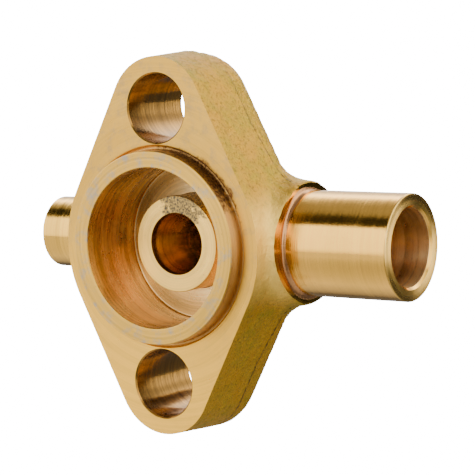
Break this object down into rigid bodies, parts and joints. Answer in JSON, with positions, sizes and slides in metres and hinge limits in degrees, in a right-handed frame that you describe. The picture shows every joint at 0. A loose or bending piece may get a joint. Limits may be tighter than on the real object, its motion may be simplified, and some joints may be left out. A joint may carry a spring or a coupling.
{
  "type": "plug seacock",
  "caption": "Bronze plug seacock body with a diamond hull flange, open chamber, two spigots and a quarter-turn lever behind.",
  "frame": {"origin": "centre of the hull flange's mounting face, on the axis of the plug", "axes": "-Y out of the open chamber towards the hull, +X along the delivery spigot, +Z along the flange's long axis through both bolt holes"},
  "size_m": [0.1062, 0.056, 0.0815],
  "materials": {
    "cast_gunmetal": "as cast with machined faces",
    "turned_bronze": "fine turned",
    "turned_gunmetal": "turned",
    "silver_solder": "fused",
    "packing": "braided",
    "stainless": "machined",
    "spring_steel": "blued",
    "acetal": "turned",
    "forged_bronze": "forged and linished",
    "grip_vinyl": "dipped"
  },
  "bodies": {
    "seacock_body": {"body_casting": "cast_gunmetal", "delivery_spigot": "turned_bronze", "drain_spigot": "turned_bronze", "delivery_solder_ring": "silver_solder", "drain_solder_ring": "silver_solder", "packing_ring_inner": "packing", "packing_ring_outer": "packing", "gland_bush": "turned_gunmetal", "keep_plate": "turned_gunmetal", "keep_plate_studs": "stainless", "stud_washers": "stainless", "stud_nuts": "stainless", "stop_pins": "stainless", "grease_nipple": "stainless", "bonding_washer": "turned_gunmetal", "bonding_screw": "turned_gunmetal", "disc_spring": "spring_steel"},
    "plug_and_lever": {"valve_plug": "turned_gunmetal", "thrust_washer": "acetal", "lever_handle": "forged_bronze", "lever_grip": "grip_vinyl", "lever_washer": "stainless", "lever_nut": "stainless"}
  },
  "joints": [
    {"name": "plug_turn", "type": "hinge", "parent": "seacock_body", "child": "plug_and_lever", "pos_m": [0, 0.0184, 0], "axis": [0, 1, 0], "range_deg": [0, 90]}
  ]
}
